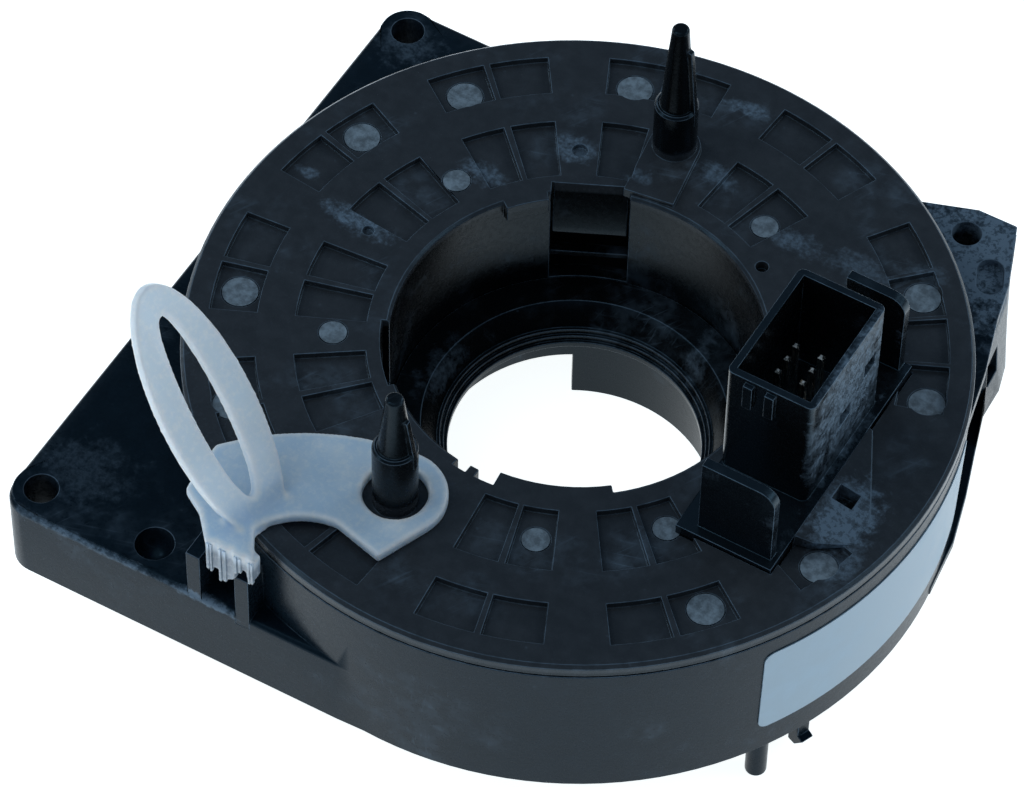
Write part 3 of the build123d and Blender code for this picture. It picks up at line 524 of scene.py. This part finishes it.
# ---------------------------------------------------------------- mesh helpers
WELD = 0.002 * MM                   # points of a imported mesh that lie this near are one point
SAME_PLANE = radians(0.3)           # between faces that count as one flat face
SHARP_ANGLE = radians(28.0)         # between faces that meet at an edge to be rounded
ON_SURFACE = 0.012 * MM             # a place this near the sharp form is on it
FOLDED = -0.5                       # cosine to the form's own face, at a face folded over

# A rounding of radius r stands this share of r off the sharp form at its middle, and a point
# further off than the second share has overshot.
ROUND_DEPTH = 0.29
STRAY = 0.6


def polar(radius, degrees, z):
    """A point at a radius in metres and an angle about the shaft."""
    angle = radians(degrees)
    return Vector((radius * cos(angle), radius * sin(angle), z))


def linked(name, data):
    """A new object in the scene for this mesh, light or camera."""
    holder = bpy.data.objects.new(name, data)
    bpy.context.scene.collection.objects.link(holder)
    return holder


def new_piece(name, mesh, finish, body, nodes=()):
    """Link a finished mesh as one piece that rides on a body and stands for these nodes."""
    piece = linked(name, mesh)
    mesh.materials.clear()
    mesh.materials.append(finish.material)
    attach(piece, body)
    if nodes:
        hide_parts(*nodes)


def evaluated(name, holder):
    """The mesh of an object after its modifiers; the object and its own mesh are removed."""
    graph = bpy.context.evaluated_depsgraph_get()
    result = bpy.data.meshes.new_from_object(holder.evaluated_get(graph))
    result.name = name
    mesh = holder.data
    bpy.data.objects.remove(holder)
    bpy.data.meshes.remove(mesh)
    return result


def applied(name, mesh, modifiers):
    """The mesh after these modifiers, given as (kind, settings)."""
    holder = linked(name + "_work", mesh)
    for kind, settings in modifiers:
        modifier = holder.modifiers.new(kind.lower(), kind)
        for key, value in settings.items():
            setattr(modifier, key, value)
    return evaluated(name, holder)


def merged_copy(node):
    """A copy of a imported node's mesh with its loose triangles joined and smooth shaded."""
    mesh = frame["nodes"][node].data.copy()
    work = bmesh.new()
    work.from_mesh(mesh)
    bmesh.ops.remove_doubles(work, verts=work.verts, dist=WELD)
    work.to_mesh(mesh)
    work.free()
    for name in ("custom_normal", "sharp_edge", "sharp_face"):
        if name in mesh.attributes:
            mesh.attributes.remove(mesh.attributes[name])
    mesh.shade_smooth()
    return mesh


class SharpForm:
    """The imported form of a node, to measure a rounded copy against."""

    def __init__(self, mesh):
        self.mesh = mesh.copy()
        self.mesh.set_sharp_from_angle(angle=SHARP_ANGLE)
        self.corners = [corner.vector.copy() for corner in self.mesh.corner_normals]
        self.tree = BVHTree.FromPolygons([v.co for v in self.mesh.vertices],
                                         [p.vertices for p in self.mesh.polygons])

    def nearest(self, point):
        """The nearest place on the form: its point, face normal, smooth normal and distance."""
        near, flat, index, gap = self.tree.find_nearest(point)
        face = self.mesh.polygons[index]
        weights = poly_3d_calc([self.mesh.vertices[v].co for v in face.vertices], near)
        smooth = sum((self.corners[loop] * weight
                      for loop, weight in zip(face.loop_indices, weights)), Vector())
        return near, flat, smooth.normalized(), gap


def rounded(name, node, radius):
    """A node's moulding with rounded edges, and an attribute that tells where they are.

    The flat faces are joined and cut into triangles afresh first, so that no sliver of the
    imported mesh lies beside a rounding. Corners that overshoot are drawn back onto the sharp
    form, and faces that a corner has folded over are turned back. The attribute "edge" runs
    from 0 on the faces to 1 on a rounded outer edge and to -1 on a filled inner corner.
    """
    mesh = merged_copy(node)
    sharp = SharpForm(mesh)
    work = bmesh.new()
    work.from_mesh(mesh)
    bmesh.ops.dissolve_limit(work, angle_limit=SAME_PLANE, verts=work.verts, edges=work.edges)
    bmesh.ops.triangulate(work, faces=work.faces)
    work.to_mesh(mesh)
    work.free()
    result = applied(name, mesh, [("BEVEL", {
        "width": radius, "segments": 2, "limit_method": "ANGLE", "angle_limit": SHARP_ANGLE,
        "use_clamp_overlap": False, "loop_slide": False})])

    for face in result.polygons:
        _, flat, _, gap = sharp.nearest(face.center)
        if gap < ON_SURFACE and face.normal.dot(flat) < FOLDED:
            face.flip()

    edge, normals = [], []
    for vertex in result.vertices:
        near, flat, smooth, gap = sharp.nearest(vertex.co)
        if gap > STRAY * radius:
            vertex.co, gap = near, 0.0
        outside = (vertex.co - near).dot(flat) > 0
        edge.append(min(1.0, gap / (ROUND_DEPTH * radius)) * (-1 if outside else 1))
        normals.append(smooth if gap < ON_SURFACE else vertex.normal.copy())
    result.attributes.new("edge", "FLOAT", "POINT").data.foreach_set("value", edge)
    result.normals_split_custom_set_from_vertices(normals)
    bpy.data.meshes.remove(sharp.mesh)
    return result


def add_moulding(node, finish, radius):
    """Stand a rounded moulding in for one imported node."""
    mesh = rounded(node + "_moulding", node, radius)
    body = frame["nodes"][node]["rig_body"]
    new_piece(node + "_moulding", mesh, finish, body, [node])


def paint_nodes(nodes, finish):
    """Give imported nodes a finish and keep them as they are."""
    for node in nodes:
        mesh = frame["nodes"][node].data
        mesh.materials.clear()
        mesh.materials.append(finish.material)


# ---------------------------------------------------------------- geometry nodes
class Tree:
    """A Geometry Nodes tree that stands a shape on each point, with one input for a size."""

    def __init__(self, name, size_name):
        self.group = bpy.data.node_groups.new(name, "GeometryNodeTree")
        face = self.group.interface
        face.new_socket("Geometry", in_out="INPUT", socket_type="NodeSocketGeometry")
        face.new_socket("Geometry", in_out="OUTPUT", socket_type="NodeSocketGeometry")
        self.size_key = face.new_socket(size_name, in_out="INPUT",
                                        socket_type="NodeSocketFloat").identifier
        self.points, self.size = self.group.nodes.new("NodeGroupInput").outputs[:2]

    def add(self, kind, settings=None, **sockets):
        """Add a node: settings first, then its sockets by name."""
        node = self.group.nodes.new(kind)
        for key, value in (settings or {}).items():
            setattr(node, key, value)
        for key, value in sockets.items():
            socket = node.inputs[key.replace("_", " ")]
            if isinstance(value, bpy.types.NodeSocket):
                self.group.links.new(value, socket)
            else:
                socket.default_value = value
        return node

    def attribute(self, kind, name):
        """What the seed mesh stores on its points under this name."""
        return self.add("GeometryNodeInputNamedAttribute", {"data_type": kind},
                        Name=name).outputs[0]

    def close(self, shape, x, y, z, material):
        """Stand the shape on the points at these scales and end the tree."""
        scale = self.add("ShaderNodeCombineXYZ", None, X=x, Y=y, Z=z)
        placed = self.add("GeometryNodeInstanceOnPoints", None, Points=self.points,
                          Instance=shape.outputs["Mesh"], Scale=scale.outputs[0])
        real = self.add("GeometryNodeRealizeInstances", Geometry=placed.outputs[0])
        painted = self.add("GeometryNodeSetMaterial", Geometry=real.outputs[0],
                           Material=material)
        output = self.group.nodes.new("NodeGroupOutput")
        self.group.links.new(painted.outputs[0], output.inputs[0])

    def grow(self, name, seed, value):
        """The plain mesh that the tree makes from a seed mesh with this size."""
        holder = linked(name + "_seed", seed)
        modifier = holder.modifiers.new("pattern", "NODES")
        modifier.node_group = self.group
        modifier[self.size_key] = value
        return evaluated(name, holder)


# ---------------------------------------------------------------- rotor, stator, connectors
ROTOR_PIECES = ("rotor_disc", "rotor_sleeve")
STATOR_PIECES = ("stator_housing", "rear_cover")
CONNECTOR_PIECES = ("steering_connector_housing", "column_connector_housing")

# The rotor's face with its pockets and pads; outside these heights the rotor has painted shade.
ROTOR_UNSHADED_BAND = (ROTOR_FACE_Z - 1.1 * MM, ROTOR_FACE_Z + 1.6 * MM)

# Patch tables of pale patches and painted light: (x, y, z, half length, half width, half
# height, turn, strength), in mm and degrees.
# Rotor: pale patches on its face (rows at 28.5 and 29 mm), and painted reflections as two
# crescents on the cone of the throat (rows at 8 mm).
ROTOR_PATCHES_AND_REFLECTIONS = (
    (-36.0, 2.0, 28.5, 7.0, 2.4, 2.5, -4.0, 1.0), (-47.6, 6.6, 28.5, 2.6, 1.2, 2.5, 20.0, 0.8),
    (-17.0, 28.7, 28.5, 3.6, 3.0, 2.5, 120.0, 0.9), (-26.0, 18.8, 28.5, 4.0, 2.6, 2.5, 50.0, 0.9),
    (-6.7, 28.6, 28.5, 2.8, 1.4, 2.5, 10.0, 0.7), (0.0, 47.6, 28.5, 4.6, 1.6, 2.5, 0.0, 0.8),
    (2.0, 35.0, 28.5, 3.6, 2.2, 2.5, 60.0, 0.8), (17.0, 30.0, 28.5, 4.4, 2.6, 2.5, -40.0, 0.7),
    (27.0, 30.4, 28.5, 6.0, 3.0, 2.5, -40.0, 0.5), (34.0, 35.0, 28.5, 6.0, 2.0, 2.5, -50.0, 0.4),
    (-21.6, -1.5, 8.0, 2.6, 9.0, 3.0, 4.0, 0.5), (9.0, 19.0, 8.0, 2.4, 8.0, 3.0, -25.0, 0.5),
    (45.4, -8.6, 29.0, 5.4, 8.5, 3.0, 0.0, 1.5), (48.6, -13.6, 28.5, 2.6, 5.0, 2.5, -12.0, 0.7),
)
# Connectors: painted light that makes the shroud's side towards +X paler, as if lit.
CONNECTOR_PAINTED_LIGHT = (
    (40.0, 3.0, 41.0, 1.6, 15.0, 17.0, 0.0, 1.0), (40.6, -16.0, 36.0, 2.5, 4.0, 8.0, 0.0, 0.3),
)
# Housing: the first row makes the wing top paler, the next two are a painted highlight along the
# plate's front top edge, and the last two make the plate's left part paler.
HOUSING_PATCHES_AND_HIGHLIGHTS = (
    (36.0, 48.0, 18.0, 18.0, 15.0, 4.0, 0.0, 1.5), (-42.0, -54.4, 13.2, 24.0, 0.9, 0.9, 1.1, 1.0),
    (-26.0, -54.0, 13.2, 6.0, 1.2, 1.2, 1.1, 2.0), (-54.0, 44.0, 13.5, 6.0, 5.0, 3.0, 0.0, 0.35),
    (-52.0, -44.0, 13.5, 9.0, 7.0, 3.0, 30.0, 0.25),
)

MARK_THICKNESS = 0.4 * MM
MARK_CORNERS = 28
POCKET_DEPTH = 1.0 * MM
SPOTS = (       # radius of the mark in mm, depth of the floor round it, (angle, radius in mm)
    (2.5, POCKET_DEPTH, ((140.2, 46.4), (110.1, 46.0), (40.6, 48.0), (18.8, 48.0),
                         (341.0, 48.6), (321.1, 46.8), (223.4, 48.0), (200.1, 46.9),
                         (160.2, 46.9))),
    (1.9, POCKET_DEPTH, ((69.1, 33.2), (290.5, 33.3), (321.1, 32.9))),
    (1.9, 0.0, ((209.1, 33.3), (151.6, 32.3))),
)


def mark_tree(material):
    """Discs of each point's own radius."""
    tree = Tree("ejector_marks", "Thickness")
    disc = tree.add("GeometryNodeMeshCylinder", None, Vertices=MARK_CORNERS, Radius=1.0,
                    Depth=1.0)
    radius = tree.attribute("FLOAT", "radius")
    tree.close(disc, radius, radius, tree.size, material)
    return tree


def spot_seed(depth):
    """Points at this depth under the floor round each ejector spot, each with its radius."""
    seed = bpy.data.meshes.new("spots")
    spots = [(polar(r * MM, angle, ROTOR_FACE_Z - floor - depth), mark * MM)
             for mark, floor, places in SPOTS for angle, r in places]
    seed.from_pydata([at for at, _ in spots], [], [])
    radius = seed.attributes.new("radius", "FLOAT", "POINT")
    radius.data.foreach_set("value", [mark for _, mark in spots])
    return seed


class CLOCKSPRING_OT_rotor(bpy.types.Operator):
    """Rotor plate and sleeve with rounded edges, and the mould's ejector marks"""

    bl_idname = "clockspring.rotor"
    bl_label = "Rotor"

    def execute(self, context):
        look, sizes = scene_settings(context)
        black = black_moulding(look, "black_rotor", look.rotor, haze=1.0, gloss=0.22,
                               grain=0.02, mirror=0.20, places=ROTOR_PATCHES_AND_REFLECTIONS,
                               bright=ROTOR_UNSHADED_BAND)
        for node in ROTOR_PIECES:
            add_moulding(node, black, sizes.edge)
        dull = witness_finish(look)
        seed = spot_seed(sizes.mark_depth + MARK_THICKNESS / 2)
        mesh = mark_tree(dull.material).grow("ejector_marks", seed, MARK_THICKNESS)
        new_piece("ejector_marks", mesh, dull, "rotor")
        return {"FINISHED"}


class CLOCKSPRING_OT_stator(bpy.types.Operator):
    """Stator housing and rear cover with rounded edges"""

    bl_idname = "clockspring.stator"
    bl_label = "Stator"

    def execute(self, context):
        look, sizes = scene_settings(context)
        black = black_moulding(look, "black_housing", look.housing, haze=0.7, gloss=0.24,
                               grain=0.02, mirror=0.11, places=HOUSING_PATCHES_AND_HIGHLIGHTS)
        for node in STATOR_PIECES:
            add_moulding(node, black, sizes.edge)
        return {"FINISHED"}


class CLOCKSPRING_OT_connectors(bpy.types.Operator):
    """Plug shrouds with rounded edges, their tinned pins and the ribbon's carriers"""

    bl_idname = "clockspring.connectors"
    bl_label = "Connectors"

    def execute(self, context):
        look, sizes = scene_settings(context)
        black = black_moulding(look, "black_connector", look.connector, haze=0.45,
                               gloss=0.22, grain=0.01, places=CONNECTOR_PAINTED_LIGHT)
        for node in CONNECTOR_PIECES:
            add_moulding(node, black, sizes.fine_edge)
        tin = pin_finish(look)
        paint_nodes([n for n in frame["nodes"] if "_terminal_" in n], tin)
        paint_nodes(("inner_ribbon_carrier", "outer_ribbon_block"), black)
        return {"FINISHED"}


# ---------------------------------------------------------------- ribbon, films and label
RIBBON_COLOUR = (0.030, 0.028, 0.026)
FILM_COLOUR = (0.050, 0.052, 0.055)


class CLOCKSPRING_OT_inside(bpy.types.Operator):
    """Ribbon cable and slip films inside the ring"""

    bl_idname = "clockspring.inside"
    bl_label = "Ribbon and films"

    def execute(self, context):
        paint_nodes(("ribbon_cable",), film_finish("ribbon", RIBBON_COLOUR, 0.40))
        paint_nodes(("upper_slip_film", "lower_slip_film"),
                    film_finish("slip_film", FILM_COLOUR, 0.5))
        return {"FINISHED"}


class CLOCKSPRING_OT_label(bpy.types.Operator):
    """Bare label on the round wall"""

    bl_idname = "clockspring.label"
    bl_label = "Label"

    def execute(self, context):
        paint_nodes(("label",), label_finish(context.scene.clock_spring_finish))
        return {"FINISHED"}


# ---------------------------------------------------------------- transport lock
# The pull loop's middle, its long direction and how far its opening reaches to either end.
LOOP_CENTRE = Vector((-30.313, -44.967, 42.403)) * MM
LOOP_ALONG = Vector((-0.58474, 0.16619, 0.79402))
LOOP_ACROSS = Vector((0.277, 0.961, 0.0))
OPENING_HALF_W = 2.6 * MM
OPENING_HALF_L = 13.4 * MM
OPENING_STRETCH = 1.13

BORDER_ANGLE = radians(30.0)        # between faces that meet at a border of the lock
BORDER_STEP = 0.25 * MM             # from point to point along a border
SOFTENING = {"factor": 0.5, "iterations": 14}

LUG_FRONT_Y = -55.2 * MM
RIB_DEPTH = 0.5 * MM
RIB_TOP_Z = ROTOR_FACE_Z + 1.0 * MM
LUG_RIBS = (    # place along the lug, width and lowest height, in mm
    (-24.35, 0.40, 24.0), (-23.85, 0.24, 23.7), (-22.45, 0.34, 22.5), (-21.75, 0.50, 22.9),
    (-20.05, 0.42, 26.0), (-19.35, 0.36, 26.5), (-17.95, 0.24, 25.0), (-17.50, 0.32, 25.3),
)


def stretch_opening(mesh):
    """Draw out the far end of the pull loop's opening."""
    for vertex in mesh.vertices:
        off = vertex.co - LOOP_CENTRE
        along = off.dot(LOOP_ALONG)
        if abs(off.dot(LOOP_ACROSS)) < OPENING_HALF_W and 0 < along < OPENING_HALF_L:
            vertex.co += LOOP_ALONG * along * (OPENING_STRETCH - 1)


def border_tree(mesh):
    """Points along a form's outer edges, to measure how near a place is to its border."""
    work = bmesh.new()
    work.from_mesh(mesh)
    points = []
    for edge in work.edges:
        if edge.is_convex and edge.calc_face_angle(0.0) > BORDER_ANGLE:
            start, end = (v.co.copy() for v in edge.verts)
            count = max(1, round((end - start).length / BORDER_STEP))
            points += [start.lerp(end, n / count) for n in range(count + 1)]
    work.free()
    tree = KDTree(len(points))
    for index, point in enumerate(points):
        tree.insert(point, index)
    tree.balance()
    return tree


def rib_tree(material):
    """Boxes of each point's own width and height."""
    tree = Tree("lug_ribs", "Depth")
    box = tree.add("GeometryNodeMeshCube")
    size_parts = tree.add("ShaderNodeSeparateXYZ", None,
                          Vector=tree.attribute("FLOAT_VECTOR", "size"))
    width, _, height = size_parts.outputs
    tree.close(box, width, tree.size, height, material)
    return tree


def rib_seed():
    """The middle and the size of each rib on the front of the lug."""
    seed = bpy.data.meshes.new("ribs")
    seed.from_pydata([(x * MM, LUG_FRONT_Y, (RIB_TOP_Z + low * MM) / 2)
                      for x, _, low in LUG_RIBS], [], [])
    sizes = seed.attributes.new("size", "FLOAT_VECTOR", "POINT")
    for item, (_, width, low) in zip(sizes.data, LUG_RIBS):
        item.vector = (width * MM, 0.0, RIB_TOP_Z - low * MM)
    return seed


class CLOCKSPRING_OT_lock(bpy.types.Operator):
    """Soft, milky transport lock with its pull loop and the fine ribs of its lug"""

    bl_idname = "clockspring.lock"
    bl_label = "Transport lock"

    def execute(self, context):
        look, sizes = scene_settings(context)
        form = merged_copy("transport_lock")
        stretch_opening(form)
        outline = border_tree(form)
        cells = {"mode": "VOXEL", "voxel_size": sizes.lock_voxel, "use_smooth_shade": True}
        mesh = applied("transport_lock_moulding", form,
                       [("REMESH", cells), ("SMOOTH", SOFTENING)])
        border = [max(0.0, 1.0 - outline.find(v.co)[2] / sizes.lock_border)
                  for v in mesh.vertices]
        mesh.attributes.new("border", "FLOAT", "POINT").data.foreach_set("value", border)
        milky = lock_finish(look)
        new_piece("transport_lock_moulding", mesh, milky, "transport_lock",
                  ["transport_lock"])
        ribs = rib_tree(milky.material).grow("lug_ribs", rib_seed(), RIB_DEPTH)
        new_piece("lug_ribs", ribs, milky, "transport_lock")
        return {"FINISHED"}


# ---------------------------------------------------------------- studio
FLOOR_HALF = 3.0
FLOOR_CORNERS = ((-1, -1), (1, -1), (1, 1), (-1, 1))

CAMERA_AT = (0.21815, -0.40179, 0.61857)
CAMERA_TURN = (37.176, -0.736, 30.575)      # degrees about X, Y and Z
CAMERA_LENS = 193.36                        # mm
CAMERA_SENSOR = 36.0                        # mm
CAMERA_CLIP = 0.01

LIGHTS = (      # name, degrees about the shaft, degrees up, distance, width, height, power
    ("overhead", -120.0, 70.0, 1.10, 0.90, 0.90, 1.0),
    ("back_right", 66.0, 33.0, 1.00, 0.26, 0.26, 0.8),
    ("back_left", 170.0, 28.0, 1.00, 0.26, 0.26, 0.8),
    ("front_left", -135.0, 27.0, 1.00, 0.30, 0.20, 0.4),
    ("right", 22.0, 30.0, 1.00, 0.40, 0.40, 0.6),
    ("spark", -150.0, 55.0, 1.00, 0.14, 0.14, 0.3),
)
LIGHT_AIM = Vector((0.0, 0.0, 0.02))
LIGHT_TINT = (0.80, 0.92, 1.0)


def area_light(name, turn, rise, away, width, height, power):
    """A soft rectangular light at an angle about and above the object, aimed at it."""
    data = bpy.data.lights.new(name, "AREA")
    data.shape, data.size, data.size_y = "RECTANGLE", width, height
    data.energy, data.color = power, LIGHT_TINT
    light = linked(name, data)
    light.location = polar(away * cos(radians(rise)), turn, away * sin(radians(rise)))
    light.rotation_euler = (LIGHT_AIM - light.location).to_track_quat("-Z", "Y").to_euler()


class CLOCKSPRING_OT_stage(bpy.types.Operator):
    """Pale floor, soft studio light and the camera"""

    bl_idname = "clockspring.stage"
    bl_label = "Stage"

    def execute(self, context):
        scene = context.scene
        studio = scene.clock_spring_studio
        mesh = bpy.data.meshes.new("floor")
        mesh.from_pydata([(x * FLOOR_HALF, y * FLOOR_HALF, FLOOR_Z) for x, y in FLOOR_CORNERS],
                         [], [(0, 1, 2, 3)])
        mesh.materials.append(floor_finish(studio).material)
        floor = linked("floor", mesh)

        world = bpy.data.worlds.new("studio")
        world.use_nodes = True
        world.node_tree.nodes["Background"].inputs[0].default_value = (*studio.sky, 1.0)
        scene.world = world
        for *place, share_of_key in LIGHTS:
            area_light(*place, studio.key * share_of_key)

        camera = linked("camera", bpy.data.cameras.new("camera"))
        camera.data.lens, camera.data.sensor_width = CAMERA_LENS, CAMERA_SENSOR
        camera.data.clip_start = CAMERA_CLIP
        camera.location = CAMERA_AT
        camera.rotation_euler = [radians(turn) for turn in CAMERA_TURN]
        scene.camera = camera
        scene.view_settings.view_transform = "Standard"
        return {"FINISHED"}


# ---------------------------------------------------------------- panel and registration
class CLOCKSPRING_PT_panel(bpy.types.Panel):
    """The clock spring's pieces and settings"""

    bl_idname = "CLOCKSPRING_PT_panel"
    bl_label = "Clock Spring"
    bl_space_type = "VIEW_3D"
    bl_region_type = "UI"
    bl_category = "Clock Spring"

    def draw(self, context):
        for operator in OPERATORS:
            self.layout.operator(operator.bl_idname)
        for name in GROUPS:
            group = getattr(context.scene, name)
            box = self.layout.box()
            for setting in group.__annotations__:
                box.prop(group, setting)


OPERATORS = (CLOCKSPRING_OT_stage, CLOCKSPRING_OT_stator, CLOCKSPRING_OT_rotor,
             CLOCKSPRING_OT_connectors, CLOCKSPRING_OT_inside, CLOCKSPRING_OT_label,
             CLOCKSPRING_OT_lock)
GROUPS = {"clock_spring_finish": ClockSpringFinish, "clock_spring_sizes": ClockSpringSizes,
          "clock_spring_studio": ClockSpringStudio}
CLASSES = (*GROUPS.values(), *OPERATORS, CLOCKSPRING_PT_panel)


def register():
    for cls in CLASSES:
        bpy.utils.register_class(cls)
    for name, group in GROUPS.items():
        setattr(bpy.types.Scene, name, PointerProperty(type=group))


def unregister():
    for name in GROUPS:
        delattr(bpy.types.Scene, name)
    for cls in reversed(CLASSES):
        bpy.utils.unregister_class(cls)


def main():
    register()
    for operator in OPERATORS:
        group, name = operator.bl_idname.split(".")
        getattr(getattr(bpy.ops, group), name)()


if __name__ == "__main__":
    main()
